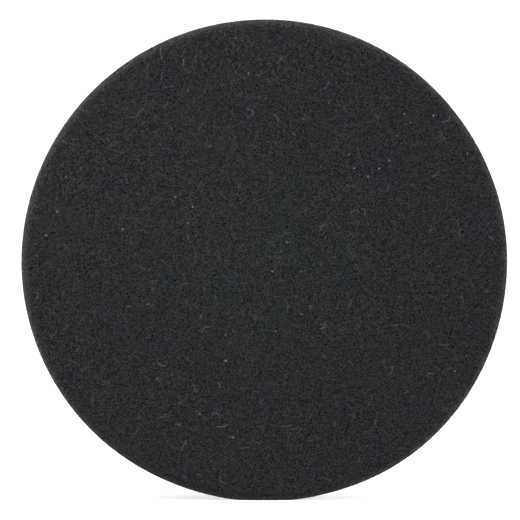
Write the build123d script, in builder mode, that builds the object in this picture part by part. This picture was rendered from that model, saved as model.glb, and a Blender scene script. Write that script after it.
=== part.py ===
from build123d import *

import os

# Flat black foam polishing pad, 150 mm across, for a hook-and-loop backing plate.
#
# Row frame, in millimetres: +Y is the spin axis and points out of the loop face, towards the
# polisher. The working face looks along -Y, and +Z is up as the pad stands on its rim. The
# origin is the centre of the loop face, where the backing plate seats.
#
# The pad is a glued stack. From the backing plate to the paint it is loop_pile, backing_cloth,
# adhesive_film and foam_pad.

# Foam disc
PAD_DIAMETER = 150.0
FOAM_THICKNESS = 25.0
FACE_EDGE_RADIUS = 3.0  # ground round, so that the rim doesn't mark the paint
BACK_EDGE_RADIUS = 1.0

# Where the soft rim is pressed flat by standing on it
REST_FLAT_DEPTH = 1.2
REST_FLAT_BLEND = 20.0  # radius that runs the flat into the round rim

# Hook-and-loop backing, cut smaller than the foam so that it can't touch the paint
BACKING_DIAMETER = 145.0
PILE_HEIGHT = 1.6
CLOTH_THICKNESS = 0.6
FILM_THICKNESS = 0.3

# Where each layer starts, measured from the loop face towards the working face
PILE_START = 0.0
CLOTH_START = PILE_START + PILE_HEIGHT
FILM_START = CLOTH_START + CLOTH_THICKNESS
FOAM_START = FILM_START + FILM_THICKNESS


def layer_plane(start):
    """Sketch plane parallel to the loop face, with +Z up in the sketch.

    Its normal points at the working face, so a layer extruded from it builds towards the paint.
    """
    return Plane(origin=(0, -start, 0), x_dir=(1, 0, 0), z_dir=(0, -1, 0))


def make_foam_pad():
    """Open-cell foam disc with a rounded working edge and the flat that it stands on."""
    radius = PAD_DIAMETER / 2
    with BuildPart() as foam_pad:
        with BuildSketch(layer_plane(FOAM_START)) as outline:
            Circle(radius)
            with Locations((0, -radius)):
                Rectangle(PAD_DIAMETER, 2 * REST_FLAT_DEPTH, mode=Mode.SUBTRACT)
            flat_ends = outline.vertices().group_by(Axis.Z)[0]
            fillet(flat_ends, radius=REST_FLAT_BLEND)
        extrude(amount=FOAM_THICKNESS)
        working_face = foam_pad.faces().sort_by(Axis.Y)[0]
        fillet(working_face.edges(), radius=FACE_EDGE_RADIUS)
        back_face = foam_pad.faces().sort_by(Axis.Y)[-1]
        fillet(back_face.edges(), radius=BACK_EDGE_RADIUS)
    foam_pad.part.label = "foam_pad"
    export_step(foam_pad.part, "parts/foam_pad.step")


def make_backing_layer(name, start, thickness):
    """One flat disc of the hook-and-loop backing."""
    with BuildPart() as layer:
        with BuildSketch(layer_plane(start)):
            Circle(BACKING_DIAMETER / 2)
        extrude(amount=thickness)
    layer.part.label = name
    export_step(layer.part, f"parts/{name}.step")


os.makedirs("parts", exist_ok=True)
make_foam_pad()
make_backing_layer("adhesive_film", FILM_START, FILM_THICKNESS)
make_backing_layer("backing_cloth", CLOTH_START, CLOTH_THICKNESS)
make_backing_layer("loop_pile", PILE_START, PILE_HEIGHT)
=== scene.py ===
"""Flat black foam polishing pad, standing on the flat of its rim, seen square on to its face.

The foam is one closed mesh of rings about the spin axis, whose open cells are real relief. Behind
it are the melted adhesive film, the knitted backing cloth and the loops of the pile. Lengths are in
metres, in the row frame: the working face looks along -Y and +Z is up.
"""

import math

import bpy
import numpy as np
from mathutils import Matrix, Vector


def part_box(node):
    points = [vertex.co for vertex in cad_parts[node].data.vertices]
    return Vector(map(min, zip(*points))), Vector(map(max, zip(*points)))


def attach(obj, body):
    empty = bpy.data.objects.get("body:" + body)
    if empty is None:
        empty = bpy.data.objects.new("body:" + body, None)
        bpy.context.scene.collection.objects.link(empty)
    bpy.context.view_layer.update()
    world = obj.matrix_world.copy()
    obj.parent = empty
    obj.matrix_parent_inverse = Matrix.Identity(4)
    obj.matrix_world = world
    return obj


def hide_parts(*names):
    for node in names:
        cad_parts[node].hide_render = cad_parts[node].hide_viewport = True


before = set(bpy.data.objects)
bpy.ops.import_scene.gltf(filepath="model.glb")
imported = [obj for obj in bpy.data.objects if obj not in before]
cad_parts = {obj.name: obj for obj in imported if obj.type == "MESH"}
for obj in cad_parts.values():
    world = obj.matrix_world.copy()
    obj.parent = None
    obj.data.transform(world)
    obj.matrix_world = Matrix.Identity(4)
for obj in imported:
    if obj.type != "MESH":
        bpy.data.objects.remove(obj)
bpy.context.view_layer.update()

MM = 0.001
TURN = 2 * math.pi

SEEDS = {  # one for each thing that is random
    "spacing": 5, "rim": 11, "cells": 21, "fine cells": 22, "face": 23, "lint": 31,
    "bead": 41, "fine bead": 42, "cut": 51, "fine cut": 52, "cloth": 53,
    "roots": 61, "loops": 62, "brushed way": 63, "brushed height": 64,
}

# ------------------------------------------------------------------ sizes, from the frame
FOAM_LOW, FOAM_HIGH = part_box("foam_pad")
FILM_LOW, FILM_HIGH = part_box("adhesive_film")
CLOTH_LOW, CLOTH_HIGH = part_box("backing_cloth")
PILE_LOW, PILE_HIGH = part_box("loop_pile")

PAD_RADIUS = FOAM_HIGH.z  # the top of the rim, where nothing presses it
FLOOR_Z = FOAM_LOW.z
FACE_Y = FOAM_LOW.y
BACK_Y = FOAM_HIGH.y
BACKING_RADIUS = CLOTH_HIGH.z

# ------------------------------------------------------------------ foam
FACE_EDGE_RADIUS = 3.0 * MM
BACK_EDGE_RADIUS = 1.0 * MM
STEP = 0.25 * MM  # mesh spacing where the foam shows
WALL_STEP = 0.29 * MM
HIDDEN_STEP = 5.0 * MM  # under the backing
JITTER = 0.22  # of the spacing, so that the rings don't show

FLAT_RADIUS = PAD_RADIUS - FACE_EDGE_RADIUS
WALL_START = FACE_Y + FACE_EDGE_RADIUS
WALL_END = BACK_Y - BACK_EDGE_RADIUS
BACK_RADIUS = PAD_RADIUS - BACK_EDGE_RADIUS
FLAT_RINGS = round(FLAT_RADIUS / STEP)
FACE_EDGE_RINGS = round(FACE_EDGE_RADIUS * math.pi / 2 / STEP)
WALL_RINGS = round((WALL_END - WALL_START) / WALL_STEP)
BACK_EDGE_RINGS = round(BACK_EDGE_RADIUS * math.pi / 2 / STEP)
AROUND = 6 * FLAT_RINGS  # points in each ring outside the flat of the face

SAGS = (  # depth, angle and spread of the places where the rim sags, beside the flat
    (1.02 * MM, math.radians(250), math.radians(36)),
    (0.38 * MM, math.radians(286), math.radians(13)),
)
RIM_WANDER = 0.14 * MM  # how unevenly the rim is cut
RIM_SWELL = 0.33 * MM  # the tips of the rim's cells stand out by this, so that it averages true
FLAT_SOFTNESS = 0.12 * MM  # over this height the pressed flat runs into the round rim
WALL_HOLLOW = 0.25 * MM  # the cutting die leaves the wall slightly hollow
FACE_WAVE = 0.10 * MM  # how far the face is from flat
FACE_WAVE_SIZE = 28 * MM

CELL_PITCH = 0.66 * MM
CELL_DEPTH = 0.26 * MM
FINE_PITCH = 0.40 * MM
FINE_DEPTH = 0.07 * MM
FOAM_WARM = (0.0118, 0.0104, 0.0108, 1.0)
FOAM_COOL = (0.0095, 0.0102, 0.0120, 1.0)
FOAM_GREEN = (0.0101, 0.0105, 0.0106, 1.0)
MIDDLE_LIFT = (1.04, 1.12, 1.03, 1.0)  # the middle of the face is drawn a little paler
MIDDLE_REACH = (28 * MM, 50 * MM)  # fully inside the first distance, and not past the second
RIM_PALE_AND_HIGHLIGHT = (2.30, 2.21, 2.14, 1.0)  # the rim is drawn paler and warmer, partly as grinding fuzz and partly as a painted highlight
RIM_LIFT_REACH = 7.0 * MM  # how far in from the rim the grinding fuzz and painted highlight reach
RIM_LIFT_FALL = 5  # how fast it fades on the way in
WALL_FADE = 0.75  # share of it that is gone down the wall
FLOOR_FADE = 0.40  # and beside the floor, as painted shade on the bottom of the rim
BOTTOM_SHADE_HEIGHT = 9.0 * MM  # up to this height above the floor the rim gets less lift: painted shade on its bottom

LINT_PALE = (0.1188, 0.12, 0.1212, 1.0)
LINT_DEPTH = 0.6 * MM  # lint lies on the face, and on its edge to this depth
FIBRE_POINTS = 24
FUZZ_COUNT = 3200
FUZZ_LENGTH = (0.4, 1.6)  # mm
FUZZ_CURL = 2.2  # radians, at most and either way
FUZZ_WIDTH = 0.12 * MM
FUZZ_STRENGTH = (0.02, 0.18)
FIBRE_COUNT = 220
FIBRE_LENGTH = (0.8, 3.6)  # mm
FIBRE_CURL = 2.6
FIBRE_WIDTH = 0.13 * MM
FIBRE_STRENGTH = (0.08, 0.48)
SPECK_COUNT = 40
SPECK_SPREAD = 0.12 * MM
SPECK_WIDTH = (0.10, 0.15)  # mm
SPECK_STRENGTH = (0.4, 2.4)

FACE_ISLAND = (0.39, 0.39, 0.38)  # middle and radius of the face's disc in the bake map
BACK_ISLAND = (0.89, 0.5, 0.1)
WALL_ISLAND = (0.02, 0.80, 0.96, 0.085)  # left, bottom, width and height of the wall's first strip
WALL_ISLAND_RISE = 0.1  # from the first strip to the second

# ------------------------------------------------------------------ backing
FILM_STEP = 0.4 * MM
FILM_BEAD = 0.30 * MM  # how far the melted film squeezes out past the cloth
FILM_SINK = 0.25 * MM  # and into the cells of the foam
BULGE_SIZE = 7 * MM
DROP_SIZE = 1.6 * MM
FILM_PALE = (0.47, 0.37, 0.21, 1.0)
FILM_DARK = (0.31, 0.23, 0.11, 1.0)

WALE_PITCH = 1.00 * MM  # columns of knitted stitches, which run along Z
COURSE_PITCH = 0.95 * MM
CLOTH_STEP = 0.55 * MM
CLOTH_WAVE = 0.06 * MM
CLOTH_WAVE_SIZE = 12 * MM
RIB_PITCH = 2 * WALE_PITCH  # the cloth's mesh can only show every second wale
RIB_HEIGHT = 0.12 * MM
CUT_WANDER = 0.10 * MM  # how unevenly the disc is cut out
CUT_SIZE = 30 * MM
FRAY_SIZE = 1.4 * MM
CLOTH_PALE = (0.53, 0.54, 0.55, 1.0)
# CLOTH_DARK is the painted shade in the knit's grooves
CLOTH_DARK = (0.24, 0.25, 0.27, 1.0)
CLOTH_DUST = (0.40, 0.38, 0.35, 1.0)

YARN_RADIUS = 0.115 * MM
LOOP_POINTS = 8
YARN_SIDES = 4
LOOP_HEIGHT = (1.05 * MM, 1.55 * MM)
LOOP_HALF_WIDTH = (0.36 * MM, 0.70 * MM)
LOOP_LEAN = (0.15 * MM, 0.60 * MM)
NAP_ANGLE = math.radians(250)  # the way the loops lie, after brushing
BRUSH_SIZE = 26 * MM  # of the soft marks where they lie differently
BRUSH_SWAY = 1.1  # radians
BRUSH_PRESS = 0.16  # share of their height that the loops lose there
ROOT_DEPTH = 0.12 * MM
ROOT_MARGIN = 0.45 * MM  # bare cloth at the cut edge
EDGE_SPLAY = 0.35 * MM  # how far the loops at the edge lean outwards
PILE_SECTORS = 6
PILE_PALE = (0.66, 0.67, 0.68, 1.0)
# PILE_DARK gives the painted shade at the loops' roots, and each loop's own tone
PILE_DARK = (0.43, 0.44, 0.46, 1.0)
PILE_DUST = (0.50, 0.47, 0.43, 1.0)

# ------------------------------------------------------------------ light and camera
WORLD_LIGHT = 0.75
SOFTBOXES = (  # name, place, side in metres, watts
    ("key", (-0.30, -0.22, 0.40), 0.28, 4.6),
    ("top", (0.15, -0.02, 1.2), 0.9, 1.2),
    ("side", (1.7, -0.08, 0.25), 1.0, 25.0),
)
FLOOR_TONE = 0.50
FLOOR_GLOW = 0.72
COVE_FLAT_RADIUS = 2.2
COVE_BEND_RADIUS = 0.8
COVE_BEND_STEPS = 16
COVE_HEIGHT = 2.4
COVE_SIDES = 96

PAD_SHARE = 0.9335  # of the picture's width
CAMERA_LENS = 200.0
CAMERA_SENSOR = 36.0
CAMERA_PLACE = (-1.33 * MM, 0.64 * MM)  # x and z: the pad sits right of centre and a little low
CAMERA_FAR = 20.0


# ------------------------------------------------------------------ mesh helpers
def make_mesh(name, points, triangles):
    """Smooth object of triangles, from arrays of points and of point numbers."""
    mesh = bpy.data.meshes.new(name)
    count = len(triangles)
    mesh.vertices.add(len(points))
    mesh.vertices.foreach_set("co", np.ascontiguousarray(points, np.float32).ravel())
    mesh.loops.add(3 * count)
    mesh.loops.foreach_set("vertex_index", np.ascontiguousarray(triangles, np.int32).ravel())
    mesh.polygons.add(count)
    mesh.polygons.foreach_set("loop_start", np.arange(0, 3 * count, 3, dtype=np.int32))
    mesh.polygons.foreach_set("use_smooth", np.full(count, True))
    mesh.update(calc_edges=True)
    mesh.validate()
    piece = bpy.data.objects.new(name, mesh)
    bpy.context.scene.collection.objects.link(piece)
    return piece


def set_attribute(piece, name, values):
    """One number for each point, which the material reads by name."""
    attribute = piece.data.attributes.new(name, "FLOAT", "POINT")
    attribute.data.foreach_set("value", np.ascontiguousarray(values, np.float32))


def set_bake_uv(piece, uv):
    """The UV map that the material is baked to, one pair for each triangle's corner."""
    layer = piece.data.uv_layers.new(name="OFBake")
    layer.data.foreach_set("uv", np.ascontiguousarray(uv, np.float32).ravel())


def bridge(inner_start, inner_count, outer_start, outer_count):
    """Triangles between two rings of points, facing the viewer when the rings run anticlockwise."""
    inner, outer = np.arange(inner_count), np.arange(outer_count)
    if inner_count == 1:
        pole = np.full(outer_count, inner_start)
        return np.stack([pole, outer_start + outer, outer_start + (outer + 1) % outer_count], 1)
    if outer_count == 1:
        pole = np.full(inner_count, outer_start)
        return np.stack([inner_start + inner, pole, inner_start + (inner + 1) % inner_count], 1)
    inner_middle = (inner + 0.5) / inner_count
    outer_middle = (outer + 0.5) / outer_count
    outer_apex = np.searchsorted(outer_middle, inner_middle, "left") % outer_count
    inner_apex = np.searchsorted(inner_middle, outer_middle, "right") % inner_count
    from_inner = np.stack(
        [inner_start + inner, outer_start + outer_apex, inner_start + (inner + 1) % inner_count], 1)
    from_outer = np.stack(
        [inner_start + inner_apex, outer_start + outer, outer_start + (outer + 1) % outer_count], 1)
    return np.concatenate([from_inner, from_outer])


def revolve(rings):
    """Points and triangles of a closed surface about the Y axis.

    Each ring is (radius, y, number of points), from the middle of the front to the middle of the
    back. Also returns each point's angle, each point's ring and each triangle's front ring.
    """
    counts = np.array([ring[2] for ring in rings])
    starts = np.concatenate([[0], np.cumsum(counts)[:-1]])
    ring_of = np.repeat(np.arange(len(rings)), counts)
    angle = (np.arange(counts.sum()) - starts[ring_of]) / counts[ring_of] * TURN
    radius = np.array([ring[0] for ring in rings])[ring_of]
    depth = np.array([ring[1] for ring in rings])[ring_of]
    points = np.stack([radius * np.cos(angle), depth, radius * np.sin(angle)], 1)
    strips = [
        bridge(starts[i], counts[i], starts[i + 1], counts[i + 1]) for i in range(len(rings) - 1)
    ]
    strip_of = np.repeat(np.arange(len(strips)), [len(s) for s in strips])
    return points, np.concatenate(strips), angle, ring_of, strip_of


def cells(points, pitch, seed):
    """Distances from each point to the nearest and second nearest centre of a random foam cell,
    in pitches, and a random number for the nearest cell."""
    rng = np.random.default_rng(seed)
    at = points / pitch
    low = np.floor(at.min(0)).astype(int) - 1
    shape = np.floor(at.max(0)).astype(int) - low + 3
    centres = rng.random((*shape, 3), dtype=np.float32)
    marks = rng.random(tuple(shape), dtype=np.float32)
    home = np.floor(at).astype(int) - low
    local = (at - low).astype(np.float32)
    first = np.full(len(points), 9.0, np.float32)
    second = first.copy()
    mark = np.zeros(len(points), np.float32)
    for step in np.ndindex(3, 3, 3):
        i, j, k = (home + np.array(step) - 1).T
        corner = np.stack([i, j, k], 1).astype(np.float32)
        gap = np.linalg.norm(local - corner - centres[i, j, k], axis=1)
        nearer = gap < first
        second = np.where(nearer, first, np.minimum(second, gap))
        mark = np.where(nearer, marks[i, j, k], mark)
        first = np.where(nearer, gap, first)
    return first, second, mark


def waves(points, size, seed, count=24):
    """Smooth random height field in 3-D with features of about the given size, from -1 to 1."""
    rng = np.random.default_rng(seed)
    total = np.zeros(len(points))
    for _ in range(count):
        direction = rng.normal(size=3)
        direction /= np.linalg.norm(direction)
        turns = TURN / size * rng.uniform(0.45, 1.0)
        total += np.sin(points @ direction * turns + rng.uniform(0, TURN))
    return total / (1.5 * math.sqrt(count / 2))


def smoothstep(low, high, values):
    """0 below low, 1 above high, and a smooth rise between them."""
    share = np.clip((values - low) / (high - low), 0, 1)
    return share * share * (3 - 2 * share)


def flat_direction(angle):
    """Unit vectors across the spin axis, at these angles round it."""
    return np.stack([np.cos(angle), np.zeros(len(angle)), np.sin(angle)], 1)


def outward_of(points):
    """Unit vectors away from the spin axis."""
    radius = np.hypot(points[:, 0], points[:, 2])
    return points * [1, 0, 1] / np.maximum(radius, MM)[:, None]


# ------------------------------------------------------------------ foam disc
def face_rings():
    """The flat of the working face, from its middle."""
    yield (0.0, FACE_Y, 1), (0.0, -1.0)
    for i in range(1, FLAT_RINGS + 1):
        yield (FLAT_RADIUS * i / FLAT_RINGS, FACE_Y, 6 * i), (0.0, -1.0)


def face_edge_rings():
    """The rounded working edge."""
    for i in range(1, FACE_EDGE_RINGS + 1):
        tilt = math.pi / 2 * i / FACE_EDGE_RINGS
        across, along = math.sin(tilt), -math.cos(tilt)
        radius = FLAT_RADIUS + FACE_EDGE_RADIUS * across
        yield (radius, FACE_Y + FACE_EDGE_RADIUS * (1 + along), AROUND), (across, along)


def wall_rings():
    """The wall, slightly hollow."""
    for i in range(1, WALL_RINGS + 1):
        share = i / WALL_RINGS
        radius = PAD_RADIUS - WALL_HOLLOW * math.sin(math.pi * share) ** 2
        yield (radius, WALL_START + (WALL_END - WALL_START) * share, AROUND), (1.0, 0.0)


def back_edge_rings():
    """The back's small rounded edge."""
    for i in range(1, BACK_EDGE_RINGS + 1):
        tilt = math.pi / 2 * i / BACK_EDGE_RINGS
        across, along = math.cos(tilt), math.sin(tilt)
        radius = BACK_RADIUS + BACK_EDGE_RADIUS * across
        yield (radius, BACK_Y - BACK_EDGE_RADIUS * (1 - along), AROUND), (across, along)


def back_rings():
    """The back, with close rings where it shows round the cloth and wide ones under the cloth."""
    radius, count = BACK_RADIUS - STEP, AROUND
    while radius > BACKING_RADIUS - 2 * MM:
        yield (radius, BACK_Y, count), (0.0, 1.0)
        radius -= STEP
    while radius > HIDDEN_STEP:
        radius -= HIDDEN_STEP
        count = max(12, count // 2)
        yield (max(radius, HIDDEN_STEP / 2), BACK_Y, count), (0.0, 1.0)
    yield (0.0, BACK_Y, 1), (0.0, 1.0)


def foam_rings():
    """Profile of the foam as rings, with each ring's outward normal (across, along Y)."""
    parts = (face_rings(), face_edge_rings(), wall_rings(), back_edge_rings(), back_rings())
    pairs = [pair for part in parts for pair in part]
    return [ring for ring, _ in pairs], np.array([normal for _, normal in pairs])


def rim_offset(angle):
    """How far the rim stands out of a true circle, by the angle round it."""
    rng = np.random.default_rng(SEEDS["rim"])
    offset = np.zeros(len(angle))
    for depth, middle, spread in SAGS:
        gap = (angle - middle + math.pi) % TURN - math.pi
        offset -= depth * np.exp(-((gap / spread) ** 2))
    for lobes in range(2, 9):
        offset += RIM_WANDER / lobes * np.sin(lobes * angle + rng.uniform(0, TURN))
    return offset


def press_on_floor(z):
    """Heights with everything under the floor pressed up on to it, softly."""
    lift = (z - FLOOR_Z) / FLAT_SOFTNESS
    return FLOOR_Z + FLAT_SOFTNESS * np.logaddexp(0, lift)


class Lint:
    """Paler marks drawn on the points of the working face: fine fuzz, stray fibres and specks."""

    def __init__(self, points):
        self.rng = np.random.default_rng(SEEDS["lint"])
        self.values = np.zeros(len(points))
        front = np.flatnonzero(points[:, 1] < FACE_Y + LINT_DEPTH)
        self.front = front[np.argsort(points[front, 0])]
        self.flat = points[self.front][:, [0, 2]]

    def mark(self, path, width, strength):
        """Draws one path, which fades out sideways."""
        low, high = path.min(0) - 3 * width, path.max(0) + 3 * width
        start, end = np.searchsorted(self.flat[:, 0], [low[0], high[0]])
        column = self.flat[start:end]
        near = start + np.flatnonzero((column[:, 1] > low[1]) & (column[:, 1] < high[1]))
        gap = np.full(len(near), 1.0)
        for point in path:
            gap = np.minimum(gap, np.linalg.norm(self.flat[near] - point, axis=1))
        glow = strength * np.exp(-((gap / width) ** 2))
        self.values[self.front[near]] = np.maximum(self.values[self.front[near]], glow)

    def spot(self):
        """A random place on the flat of the face."""
        radius = FLAT_RADIUS * math.sqrt(self.rng.random())
        angle = self.rng.uniform(0, TURN)
        return np.array([radius * math.cos(angle), radius * math.sin(angle)])

    def fibre(self, lengths, most_curl):
        """Path of one curled fibre, at a random place."""
        length = self.rng.uniform(*lengths) * MM
        curl = self.rng.uniform(-most_curl, most_curl)
        share = np.linspace(0, 1, FIBRE_POINTS)
        heading = self.rng.uniform(0, TURN) + curl * share ** self.rng.uniform(0.7, 2.0)
        steps = np.stack([np.cos(heading), np.sin(heading)], 1) * length / FIBRE_POINTS
        return self.spot() + np.cumsum(steps, 0)

    def strength(self, limits, rarity):
        """A random strength, which is seldom near the upper limit."""
        low, high = limits
        return low + (high - low) * self.rng.random() ** rarity

    def scatter(self):
        """Draws all the marks."""
        for _ in range(FUZZ_COUNT):
            path = self.fibre(FUZZ_LENGTH, FUZZ_CURL)
            self.mark(path, FUZZ_WIDTH, self.strength(FUZZ_STRENGTH, 1.5))
        for _ in range(FIBRE_COUNT):
            path = self.fibre(FIBRE_LENGTH, FIBRE_CURL)
            self.mark(path, FIBRE_WIDTH, self.strength(FIBRE_STRENGTH, 2))
        for _ in range(SPECK_COUNT):
            tail = self.rng.normal(0, SPECK_SPREAD, (3, 2)).cumsum(0)
            path = self.spot() + tail
            width = self.rng.uniform(*SPECK_WIDTH) * MM
            self.mark(path, width, self.rng.uniform(*SPECK_STRENGTH))
        return self.values


def rim_grinding_and_highlight(points):
    """How much paler the rim is drawn, partly as grinding fuzz and partly as painted highlight:
    most on the rounded edge, fading down the wall, and fading towards the flat that the pad stands
    on as painted shade on the bottom of the rim."""
    inward = (PAD_RADIUS - np.hypot(points[:, 0], points[:, 2])) / RIM_LIFT_REACH
    on_edge = (1 - np.clip(inward, 0, 1)) ** RIM_LIFT_FALL
    down_wall = smoothstep(FACE_EDGE_RADIUS, 3 * FACE_EDGE_RADIUS, points[:, 1] - FACE_Y)
    off_floor = smoothstep(0.0, BOTTOM_SHADE_HEIGHT, points[:, 2] - FLOOR_Z)
    return on_edge * (1 - WALL_FADE * down_wall) * (1 - FLOOR_FADE + FLOOR_FADE * off_floor)


def disc_island(island, reach, angle, mirror=1):
    """Bake coordinates in a disc, by the share of its radius and the angle."""
    u, v, size = island
    across = mirror * size * reach * np.cos(angle)
    return np.stack([u + across, v + size * reach * np.sin(angle)], 1)


def wall_uv(angle, triangles, down):
    """Bake coordinates of the wall's corners, in one strip for each half of the way round."""
    left, bottom, width, height = WALL_ISLAND
    corner = triangles.ravel()
    middle = np.angle(np.exp(1j * angle[triangles]).mean(1)) % TURN
    half = np.repeat(middle >= math.pi, 3)
    start = np.where(half, math.pi, 0.0)
    along = (angle[corner] - start + math.pi / 2) % TURN - math.pi / 2
    return np.stack([left + width * along / math.pi,
                     bottom + WALL_ISLAND_RISE * half + height * down[corner]], 1)


def foam_uv(triangles, angle, ring_of, strip_of, rings):
    """Bake map: the face and its rounded edge as a disc, the wall in two strips, and the back."""
    front_end = FLAT_RINGS + FACE_EDGE_RINGS
    wall_end = front_end + WALL_RINGS + BACK_EDGE_RINGS
    arc = np.cumsum([0.0] + [math.dist(a[:2], b[:2]) for a, b in zip(rings, rings[1:])])
    reach = arc[ring_of] / arc[front_end]
    behind = (arc[-1] - arc[ring_of]) / (arc[-1] - arc[wall_end])
    down = (arc[ring_of] - arc[front_end]) / (arc[wall_end] - arc[front_end])

    corner = triangles.ravel()
    strip = np.repeat(strip_of, 3)
    at_back = strip >= wall_end
    on_wall = (strip >= front_end) & (strip < wall_end)
    uv = disc_island(FACE_ISLAND, reach, angle)[corner]
    uv[at_back] = disc_island(BACK_ISLAND, behind, angle, mirror=-1)[corner[at_back]]
    uv[on_wall] = wall_uv(angle, triangles, down)[on_wall]
    return uv


def cut_cells(points):
    """How deep the cut cells are at each point, and how near it is to a strut's tip (0 to 1)."""
    first, second, mark = cells(points, CELL_PITCH, SEEDS["cells"])
    wall = 1 - smoothstep(0.04, 0.50, second - first)
    pit = (1 - wall) * (0.45 + 0.55 * mark)
    fine_first, fine_second, _ = cells(points, FINE_PITCH, SEEDS["fine cells"])
    fine = smoothstep(0.0, 0.45, fine_second - fine_first)
    return CELL_DEPTH * pit + FINE_DEPTH * fine, np.clip(1 - pit - 0.25 * fine, 0, 1)


def shape_rim(points, angle, radius):
    """The disc with its uneven, sagging rim, pressed flat where it stands on the floor."""
    outward = points * [1, 0, 1] / np.maximum(radius, STEP)[:, None]
    rim_share = smoothstep(0.6 * PAD_RADIUS, PAD_RADIUS, radius)
    points = points + outward * ((rim_offset(angle) + RIM_SWELL) * rim_share)[:, None]
    points[:, 2] = press_on_floor(points[:, 2])
    return points


def make_foam():
    """The foam disc, with its cut cells as relief and their shade kept for the material."""
    rings, ring_normals = foam_rings()
    points, triangles, angle, ring_of, strip_of = revolve(rings)
    across, along = ring_normals[ring_of].T
    normals = np.stack([across * np.cos(angle), along, across * np.sin(angle)], 1)
    radius = np.hypot(points[:, 0], points[:, 2])
    hidden = (points[:, 1] > BACK_Y - 0.01 * MM) & (radius < BACKING_RADIUS - 0.5 * MM)

    rng = np.random.default_rng(SEEDS["spacing"])
    sideways = rng.uniform(-1, 1, points.shape) * STEP * JITTER
    sideways -= (sideways * normals).sum(1)[:, None] * normals
    points = points + sideways * (~hidden & (radius > STEP))[:, None]
    points = shape_rim(points, angle, radius)

    depth, relief = cut_cells(points)
    on_face = normals[:, 1] < -0.5
    swell = (FACE_WAVE * waves(points, FACE_WAVE_SIZE, SEEDS["face"]) - FACE_WAVE) * on_face
    points = points + normals * ((swell - depth) * ~hidden)[:, None]

    piece = make_mesh("foam_disc", points, triangles)
    set_attribute(piece, "relief", relief)
    set_attribute(piece, "lint", Lint(points).scatter())
    set_attribute(piece, "rim_lift", rim_grinding_and_highlight(points))
    set_bake_uv(piece, foam_uv(triangles, angle, ring_of, strip_of, rings))
    piece.data.materials.append(foam_material())
    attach(piece, "root")
    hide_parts("foam_pad")
    return piece


# ------------------------------------------------------------------ backing
def disc_rings(front_y, back_y, radius, shown_steps, shown_step, edge_step):
    """Profile of a thin disc with a round edge. Its back has close rings for shown_steps inwards
    from the edge, and both sides have wide ones where other layers hide them."""
    half = (back_y - front_y) / 2
    around = 6 * round(radius / edge_step)
    middle_y = (front_y + back_y) / 2
    inner = radius - half
    rings = [(0.0, front_y, 1)]
    rings += [(inner * share, front_y, round(around * share)) for share in (0.25, 0.5, 0.75, 0.97)]
    bend = max(4, round(math.pi * half / edge_step))
    for i in range(bend + 1):
        tilt = math.pi * i / bend
        rings.append((inner + half * math.sin(tilt), middle_y - half * math.cos(tilt), around))
    for i in range(1, shown_steps):
        reach = inner - shown_step * i
        rings.append((reach, back_y, round(around * reach / inner)))
    last = rings[-1][0]
    if last > 2 * shown_step:
        rings += [(last * share, back_y, round(around * last / inner * share))
                  for share in (0.97, 0.75, 0.5, 0.25)]
    rings.append((0.0, back_y, 1))
    return rings


def two_discs_uv(points, triangles):
    """Bake map of a thin disc, its front at the left and its back at the right."""
    low, high = points.min(0), points.max(0)
    middle = (low[1] + high[1]) / 2
    span = 2.1 * max(high[0], high[2])
    behind = np.repeat(points[triangles, 1].mean(1) > middle, 3)
    corner = points[triangles.ravel()]
    across = np.where(behind, 0.75 - 0.5 * corner[:, 0] / span, 0.25 + 0.5 * corner[:, 0] / span)
    return np.stack([across, 0.25 + 0.5 * corner[:, 2] / span], 1)


def make_film():
    """Hot-melt adhesive, with an uneven bead where it has squeezed out round the edge."""
    rings = disc_rings(FILM_LOW.y, FILM_HIGH.y, FILM_HIGH.z, 3, FILM_STEP, FILM_STEP)
    points, triangles = revolve(rings)[:2]
    radius = np.hypot(points[:, 0], points[:, 2])
    at_edge = smoothstep(FILM_HIGH.z - 1.5 * MM, FILM_HIGH.z - 0.1 * MM, radius)
    bulges = 0.7 * waves(points, BULGE_SIZE, SEEDS["bead"])
    drops = 0.5 * waves(points, DROP_SIZE, SEEDS["fine bead"])
    bead = FILM_BEAD * (1 + bulges + drops)
    points = points + outward_of(points) * (at_edge * np.maximum(bead, 0.02 * MM))[:, None]
    in_front = points[:, 1] < (FILM_LOW.y + FILM_HIGH.y) / 2
    points[:, 1] -= FILM_SINK * at_edge * in_front
    piece = make_mesh("adhesive_bead", points, triangles)
    set_bake_uv(piece, two_discs_uv(points, triangles))
    piece.data.materials.append(film_material())
    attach(piece, "root")
    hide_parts("adhesive_film")
    return piece


def make_cloth():
    """Knitted cloth under the loops: ribs along the wales, gentle waves and a cut edge."""
    shown = int(CLOTH_HIGH.z / CLOTH_STEP)
    rings = disc_rings(CLOTH_LOW.y, CLOTH_HIGH.y, CLOTH_HIGH.z, shown, CLOTH_STEP, CLOTH_STEP)
    points, triangles = revolve(rings)[:2]
    radius = np.hypot(points[:, 0], points[:, 2])
    at_edge = smoothstep(0.9 * CLOTH_HIGH.z, CLOTH_HIGH.z, radius)
    fray = 0.6 * waves(points, FRAY_SIZE, SEEDS["fine cut"])
    cut = CUT_WANDER * (waves(points, CUT_SIZE, SEEDS["cut"]) + fray)
    points = points + outward_of(points) * (at_edge * cut)[:, None]
    behind = points[:, 1] > CLOTH_HIGH.y - 0.05 * MM
    rib = np.abs(np.cos(math.pi * points[:, 0] / RIB_PITCH)) ** 0.7
    stitch = 0.5 + 0.5 * np.cos(TURN * points[:, 2] / RIB_PITCH)
    ribs = RIB_HEIGHT * (1 - rib * (0.7 + 0.3 * stitch))
    drop = ribs + CLOTH_WAVE * waves(points, CLOTH_WAVE_SIZE, SEEDS["cloth"])
    points[:, 1] -= np.maximum(drop, 0) * behind
    piece = make_mesh("knitted_cloth", points, triangles)
    set_bake_uv(piece, two_discs_uv(points, triangles))
    piece.data.materials.append(cloth_material())
    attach(piece, "root")
    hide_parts("backing_cloth")
    return piece


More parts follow.
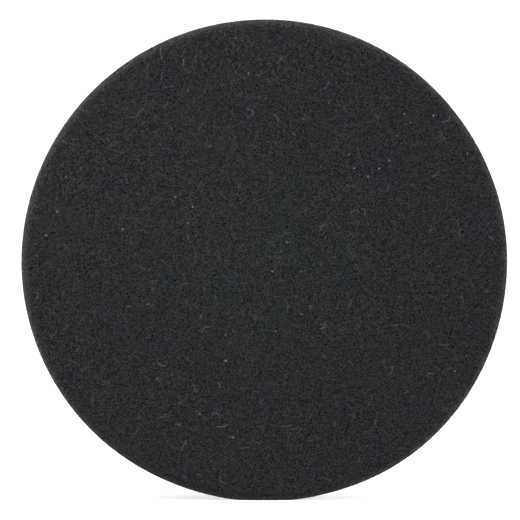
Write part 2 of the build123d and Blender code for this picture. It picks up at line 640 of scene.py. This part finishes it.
def loop_roots():
    """Where the loops stand: on the knit's columns and courses, each a little out of place."""
    rng = np.random.default_rng(SEEDS["roots"])
    reach = PILE_HIGH.z - ROOT_MARGIN
    columns = np.arange(-int(reach / WALE_PITCH), int(reach / WALE_PITCH) + 1)
    courses = np.arange(-int(reach / COURSE_PITCH), int(reach / COURSE_PITCH) + 1)
    column, course = (grid.ravel() for grid in np.meshgrid(columns, courses))
    count = len(column)
    x = column * WALE_PITCH + rng.normal(0, 0.10, count) * WALE_PITCH
    stagger = 0.5 * (column % 2)
    z = (course + stagger) * COURSE_PITCH + rng.normal(0, 0.12, count) * COURSE_PITCH
    inside = np.hypot(x, z) < reach
    return np.stack([x, np.full(len(x), PILE_LOW.y - ROOT_DEPTH), z], 1)[inside]


def loop_lines(roots, rng):
    """Centre line of each loop's yarn: it rises, rolls over and goes back into the cloth."""
    count = len(roots)
    t = np.linspace(0, 1, LOOP_POINTS)
    rise = np.sin(math.pi * t) ** 0.8
    spread = -np.cos(math.pi * t) * (1 + 0.35 * np.sin(math.pi * t))
    turn = rng.normal(0, 0.65, count)
    across = flat_direction(turn)
    pressed = BRUSH_PRESS * (0.5 + 0.5 * waves(roots, BRUSH_SIZE, SEEDS["brushed height"]))
    height = rng.uniform(*LOOP_HEIGHT, count) * (1 - pressed) + ROOT_DEPTH
    width = rng.uniform(*LOOP_HALF_WIDTH, count)
    sway = BRUSH_SWAY * waves(roots, BRUSH_SIZE, SEEDS["brushed way"])
    way = NAP_ANGLE + sway + rng.normal(0, 0.6, count)
    lean = flat_direction(way) * rng.uniform(*LOOP_LEAN, count)[:, None]
    radius = np.hypot(roots[:, 0], roots[:, 2])
    at_edge = smoothstep(BACKING_RADIUS - 2.5 * MM, BACKING_RADIUS - 0.5 * MM, radius)
    lean += outward_of(roots) * (EDGE_SPLAY * at_edge * rng.uniform(0.3, 1.3, count))[:, None]
    height *= 1 - 0.25 * at_edge * rng.random(count)

    lines = roots[:, None] + across[:, None] * (width[:, None] * spread)[..., None]
    lines = lines + lean[:, None] * (rise ** 2)[None, :, None]
    lines[..., 1] += height[:, None] * rise
    return lines, across


def loop_triangles():
    """Triangles of one yarn tube, as (point along, side) for each corner, with its ends closed."""
    corners = []
    for i in range(LOOP_POINTS - 1):
        for side in range(YARN_SIDES):
            corners += [(i, side), (i, side + 1), (i + 1, side + 1)]
            corners += [(i, side), (i + 1, side + 1), (i + 1, side)]
    last = LOOP_POINTS - 1
    for side in range(1, YARN_SIDES - 1):
        corners += [(0, side + 1), (0, side), (0, 0)]
        corners += [(last, 0), (last, side), (last, side + 1)]
    return np.array(corners)


def yarn_tubes(lines, across, thickness):
    """Points of the tubes round the loops' centre lines."""
    tangent = np.gradient(lines, axis=1)
    tangent /= np.linalg.norm(tangent, axis=2)[..., None]
    flat_side = np.cross(across, [0.0, 1.0, 0.0])[:, None]
    first = np.cross(tangent, flat_side)
    first /= np.linalg.norm(first, axis=2)[..., None]
    second = np.cross(tangent, first)
    around = (TURN * np.arange(YARN_SIDES) / YARN_SIDES)[:, None]
    ring = first[:, :, None] * np.cos(around) + second[:, :, None] * np.sin(around)
    return (lines[:, :, None] + ring * thickness[:, None, None, None]).reshape(-1, 3)


def loop_uv(count, corners):
    """Bake map of the loops, with a small square cell for each one."""
    cells_across = math.ceil(math.sqrt(count))
    number = np.arange(count)
    cell = np.stack([number % cells_across, number // cells_across], 1)
    inside = 0.12 + 0.76 * corners / [LOOP_POINTS - 1, YARN_SIDES]
    return ((cell[:, None] + inside) / cells_across).reshape(-1, 2)


def make_pile_sector(number, roots, rng):
    """One sector of the loop pile, each loop a closed tube of yarn."""
    count = len(roots)
    per_loop = LOOP_POINTS * YARN_SIDES
    lines, across = loop_lines(roots, rng)
    points = yarn_tubes(lines, across, YARN_RADIUS * rng.uniform(0.85, 1.2, count))
    corners = loop_triangles()
    in_loop = corners[:, 0] * YARN_SIDES + corners[:, 1] % YARN_SIDES
    triangles = (np.arange(count)[:, None] * per_loop + in_loop).reshape(-1, 3)

    piece = make_mesh(f"loop_pile_{number}", points, triangles)
    set_attribute(piece, "tone", np.repeat(rng.random(count), per_loop))
    # rise along each loop, from which the material paints shade at the roots
    rise = np.sin(math.pi * np.linspace(0, 1, LOOP_POINTS))
    set_attribute(piece, "rise", np.tile(np.repeat(rise, YARN_SIDES), count))
    set_bake_uv(piece, loop_uv(count, corners))
    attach(piece, "root")
    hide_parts("loop_pile")
    return piece


def make_backing():
    """Film, cloth and the pile that is knitted into the cloth."""
    film = make_film()
    cloth = make_cloth()
    roots = loop_roots()
    sector = (np.arctan2(roots[:, 2], roots[:, 0]) % TURN / TURN * PILE_SECTORS).astype(int)
    rng = np.random.default_rng(SEEDS["loops"])
    look = pile_material()
    for number in range(PILE_SECTORS):
        piece = make_pile_sector(number + 1, roots[sector == number], rng)
        piece.data.materials.append(look)


# ------------------------------------------------------------------ materials
class Nodes:
    """Short ways to add and join the nodes of one material."""

    def __init__(self, name):
        self.material = bpy.data.materials.new(name)
        self.material.use_nodes = True
        self.tree = self.material.node_tree
        self.shader = self.tree.nodes["Principled BSDF"]
        self.place = self.tree.nodes.new("ShaderNodeTexCoord").outputs["Object"]

    def add(self, kind, inputs=None, **settings):
        """A new node, whose inputs are numbers, colours or other nodes' outputs."""
        node = self.tree.nodes.new(kind)
        for key, value in settings.items():
            setattr(node, key, value)
        for key, value in (inputs or {}).items():
            if isinstance(value, bpy.types.NodeSocket):
                self.tree.links.new(value, node.inputs[key])
            else:
                node.inputs[key].default_value = value
        return node

    def attribute(self, name):
        """One of the numbers that the mesh keeps for each point."""
        return self.add("ShaderNodeAttribute", attribute_name=name).outputs["Fac"]

    def math(self, operation, a, b=0.0, clamp=False):
        """One sum, held between 0 and 1 if clamp is set."""
        node = self.add("ShaderNodeMath", {0: a, 1: b}, operation=operation, use_clamp=clamp)
        return node.outputs[0]

    def noise(self, size, detail=2.0):
        """Cloudy noise with features of about this size."""
        inputs = {"Vector": self.place, "Scale": 1 / size, "Detail": detail}
        return self.add("ShaderNodeTexNoise", inputs).outputs["Fac"]

    def voronoi(self, size):
        """Distance to the middle of the nearest cell, in cells of about this size."""
        inputs = {"Vector": self.place, "Scale": 1 / size}
        return self.add("ShaderNodeTexVoronoi", inputs).outputs["Distance"]

    def spread(self, value, low, high, new_low, new_high):
        """value from low..high mapped to new_low..new_high, and held at those ends."""
        inputs = {"Value": value, "From Min": low, "From Max": high,
                  "To Min": new_low, "To Max": new_high}
        return self.add("ShaderNodeMapRange", inputs, clamp=True).outputs["Result"]

    def mix(self, share, a, b, blend="MIX"):
        """Colour a, with this share of b blended in."""
        node = self.add("ShaderNodeMix", data_type="RGBA", blend_type=blend)
        for index, value in ((0, share), (6, a), (7, b)):
            if isinstance(value, bpy.types.NodeSocket):
                self.tree.links.new(value, node.inputs[index])
            else:
                node.inputs[index].default_value = value
        return node.outputs[2]

    def reach(self):
        """Distance from the origin, which is behind the middle of the face."""
        node = self.add("ShaderNodeVectorMath", {0: self.place}, operation="LENGTH")
        return node.outputs["Value"]

    def ribs(self, axis, pitch):
        """Waves from 0 to 1 along one axis, one for each pitch."""
        across = self.add("ShaderNodeSeparateXYZ", {"Vector": self.place}).outputs[axis]
        wave = self.math("SINE", self.math("MULTIPLY", across, TURN / pitch))
        return self.spread(wave, -1.0, 1.0, 0.0, 1.0)

    def bump(self, height, distance, strength):
        """Fine relief that only the light sees."""
        inputs = {"Height": height, "Distance": distance, "Strength": strength}
        normal = self.add("ShaderNodeBump", inputs).outputs["Normal"]
        self.tree.links.new(normal, self.shader.inputs["Normal"])

    def set(self, **values):
        """Sets the shader's own inputs, with _ for each space in their names."""
        for name, value in values.items():
            socket = self.shader.inputs[name.replace("_", " ")]
            if isinstance(value, bpy.types.NodeSocket):
                self.tree.links.new(value, socket)
            else:
                socket.default_value = value


def foam_material():
    """Near-black open-cell foam: painted shade in the pores, painted highlights on the strut tips,
    faint mottling, a paler middle of the face, a rim drawn paler partly as grinding fuzz and partly
    as painted highlight, and lint."""
    nodes = Nodes("foam_black")
    relief = nodes.attribute("relief")
    # painted shade in the cells' pits and painted highlight on the strut tips, read from the relief
    strut = nodes.spread(relief, 0.1, 0.95, 0.30, 1.60)
    grain = nodes.spread(nodes.noise(0.35 * MM, 1.0), 0.25, 0.75, 0.14, 1.91)
    # painted glints: small bright dots at the points of fine cells
    tip = nodes.spread(nodes.voronoi(0.42 * MM), 0.0, 0.55, 1.55, 0.75)
    patch = nodes.spread(nodes.noise(9 * MM, 3.0), 0.3, 0.7, 0.95, 1.05)
    cell_shade = nodes.math("MULTIPLY", strut, grain)
    shade = nodes.math("MULTIPLY", cell_shade, nodes.math("MULTIPLY", tip, patch))
    warmth = nodes.spread(nodes.noise(11 * MM), 0.35, 0.65, 0.0, 1.0)
    tint = nodes.mix(warmth, FOAM_WARM, FOAM_COOL)
    tint = nodes.mix(nodes.spread(nodes.voronoi(9 * MM), 0.35, 0.75, 0.0, 1.0), tint, FOAM_GREEN)
    middle = nodes.spread(nodes.reach(), *MIDDLE_REACH, 1.0, 0.0)
    tint = nodes.mix(middle, tint, nodes.mix(1.0, tint, MIDDLE_LIFT, "MULTIPLY"))
    tone = nodes.mix(1.0, tint, shade, "MULTIPLY")
    # the paler, warmer rim: partly grinding fuzz and partly painted highlight, less near the floor
    # as painted shade
    tone = nodes.mix(nodes.attribute("rim_lift"), tone, nodes.mix(1.0, tone, RIM_PALE_AND_HIGHLIGHT, "MULTIPLY"))
    tone = nodes.mix(nodes.attribute("lint"), tone, LINT_PALE)
    nodes.set(Base_Color=tone, Roughness=nodes.spread(relief, 0.0, 1.0, 0.98, 0.80))
    nodes.set(Specular_IOR_Level=0.05, Sheen_Weight=0.30, Sheen_Roughness=0.30)
    nodes.set(Sheen_Tint=(1.0, 0.96, 0.94, 1.0))
    nodes.bump(nodes.noise(0.35 * MM, 2.0), 0.08 * MM, 0.7)
    return nodes.material


def film_material():
    """Cloudy amber hot-melt, with small bubbles and a dull skin."""
    nodes = Nodes("adhesive_amber")
    cloud = nodes.spread(nodes.noise(2.2 * MM, 3.0), 0.3, 0.7, 0.0, 1.0)
    tone = nodes.mix(cloud, FILM_DARK, FILM_PALE)
    bubble = nodes.spread(nodes.voronoi(0.7 * MM), 0.05, 0.22, 0.8, 0.0)
    tone = nodes.mix(bubble, tone, FILM_DARK)
    nodes.set(Base_Color=tone, Roughness=nodes.spread(cloud, 0.0, 1.0, 0.28, 0.52))
    nodes.bump(nodes.noise(0.9 * MM, 3.0), 0.10 * MM, 0.6)
    return nodes.material


def cloth_material():
    """Pale grey knit: painted shade between the wales and the courses, with faint dust."""
    nodes = Nodes("cloth_grey")
    wales = nodes.ribs("X", WALE_PITCH)
    courses = nodes.ribs("Z", COURSE_PITCH)
    # painted shade in the grooves between the wales and between the courses
    knit = nodes.math("MULTIPLY", wales, nodes.spread(courses, 0.0, 1.0, 0.30, 1.0))
    fuzz = nodes.noise(0.25 * MM, 3.0)
    shade = nodes.math("MULTIPLY", knit, nodes.spread(fuzz, 0.3, 0.7, 0.7, 1.15), clamp=True)
    dust = nodes.spread(nodes.noise(14 * MM, 3.0), 0.45, 0.75, 0.0, 0.35)
    tone = nodes.mix(dust, nodes.mix(shade, CLOTH_DARK, CLOTH_PALE), CLOTH_DUST)
    nodes.set(Base_Color=tone, Roughness=nodes.spread(fuzz, 0.0, 1.0, 0.95, 0.75))
    nodes.set(Specular_IOR_Level=0.25, Sheen_Weight=0.25, Sheen_Roughness=0.4)
    nodes.bump(nodes.math("ADD", knit, nodes.math("MULTIPLY", fuzz, 0.5)), 0.22 * MM, 1.0)
    return nodes.material


def pile_material():
    """Pale grey nylon yarn: painted shade towards the roots, each loop a little different, faintly
    dusty.
    """
    nodes = Nodes("pile_grey")
    # painted shade: the yarn is drawn darker towards the loops' roots
    rise = nodes.spread(nodes.attribute("rise"), 0.0, 0.9, 0.0, 0.75)
    own = nodes.spread(nodes.attribute("tone"), 0.0, 1.0, -0.12, 0.28)
    share = nodes.math("ADD", rise, own, clamp=True)
    filament = nodes.spread(nodes.noise(0.10 * MM, 2.0), 0.3, 0.7, 0.80, 1.10)
    dust = nodes.spread(nodes.noise(16 * MM, 4.0), 0.45, 0.72, 0.0, 0.30)
    tone = nodes.mix(dust, nodes.mix(share, PILE_DARK, PILE_PALE), PILE_DUST)
    tone = nodes.mix(1.0, tone, filament, "MULTIPLY")
    nodes.set(Base_Color=tone, Roughness=nodes.spread(filament, 0.80, 1.10, 0.62, 0.48))
    nodes.set(Specular_IOR_Level=0.40, Sheen_Weight=0.20, Sheen_Roughness=0.35)
    nodes.bump(nodes.noise(0.06 * MM, 2.0), 0.02 * MM, 0.6)
    return nodes.material


def floor_material():
    """Matt floor that gives off most of its own light, as an under-lit studio table does."""
    nodes = Nodes("floor_white")
    nodes.set(Base_Color=(FLOOR_TONE, FLOOR_TONE, FLOOR_TONE, 1.0), Roughness=0.9)
    nodes.set(Emission_Color=(1.0, 1.0, 1.0, 1.0), Emission_Strength=FLOOR_GLOW)
    return nodes.material


# ------------------------------------------------------------------ stage
def cove_profile():
    """The cove from near its middle outwards, as (radius, height above the floor)."""
    profile = [(0.02, 0.0), (0.5, 0.0), (COVE_FLAT_RADIUS, 0.0)]
    for i in range(1, COVE_BEND_STEPS + 1):
        turn = math.pi / 2 * i / COVE_BEND_STEPS
        profile.append((COVE_FLAT_RADIUS + COVE_BEND_RADIUS * math.sin(turn),
                        COVE_BEND_RADIUS * (1 - math.cos(turn))))
    profile.append((COVE_FLAT_RADIUS + COVE_BEND_RADIUS, COVE_HEIGHT))
    return profile


def make_floor():
    """White floor that curves up on every side, as a round studio cove does."""
    profile = cove_profile()
    around = TURN * np.arange(COVE_SIDES) / COVE_SIDES
    points, triangles = [[[0.0, 0.0, FLOOR_Z]]], [bridge(0, 1, 1, COVE_SIDES)]
    for i, (reach, up) in enumerate(profile):
        height = np.full(COVE_SIDES, FLOOR_Z + up)
        points.append(np.stack([reach * np.cos(around), reach * np.sin(around), height], 1))
        start = 1 + COVE_SIDES * i
        if i + 1 < len(profile):
            triangles.append(bridge(start, COVE_SIDES, start + COVE_SIDES, COVE_SIDES))
    floor = make_mesh("floor", np.concatenate(points), np.concatenate(triangles))
    floor.data.materials.append(floor_material())


def add_softbox(name, place, size, power):
    """Square area light, aimed at the middle of the pad."""
    light = bpy.data.lights.new(name, "AREA")
    light.shape = "SQUARE"
    light.size = size
    light.energy = power
    lamp = bpy.data.objects.new(name, light)
    lamp.location = place
    lamp.rotation_mode = "QUATERNION"
    lamp.rotation_quaternion = (-Vector(place)).to_track_quat("-Z", "Y")
    bpy.context.scene.collection.objects.link(lamp)


def make_light():
    """White surroundings and three softboxes, shown without any film look."""
    world = bpy.data.worlds.new("studio")
    bpy.context.scene.world = world
    world.use_nodes = True
    background = world.node_tree.nodes["Background"]
    background.inputs["Color"].default_value = (1, 1, 1, 1)
    background.inputs["Strength"].default_value = WORLD_LIGHT
    for name, place, size, power in SOFTBOXES:
        add_softbox(name, place, size, power)
    bpy.context.scene.view_settings.view_transform = "Standard"


def make_camera():
    """Long lens, square on to the working face."""
    data = bpy.data.cameras.new("camera")
    data.lens = CAMERA_LENS
    data.sensor_width = CAMERA_SENSOR
    camera = bpy.data.objects.new("camera", data)
    distance = 2 * PAD_RADIUS / PAD_SHARE * CAMERA_LENS / CAMERA_SENSOR
    camera.location = (CAMERA_PLACE[0], FACE_Y - distance, CAMERA_PLACE[1])
    camera.rotation_euler = (math.pi / 2, 0, 0)
    data.clip_end = CAMERA_FAR
    bpy.context.scene.collection.objects.link(camera)
    bpy.context.scene.camera = camera


make_foam()
make_backing()
make_floor()
make_light()
make_camera()
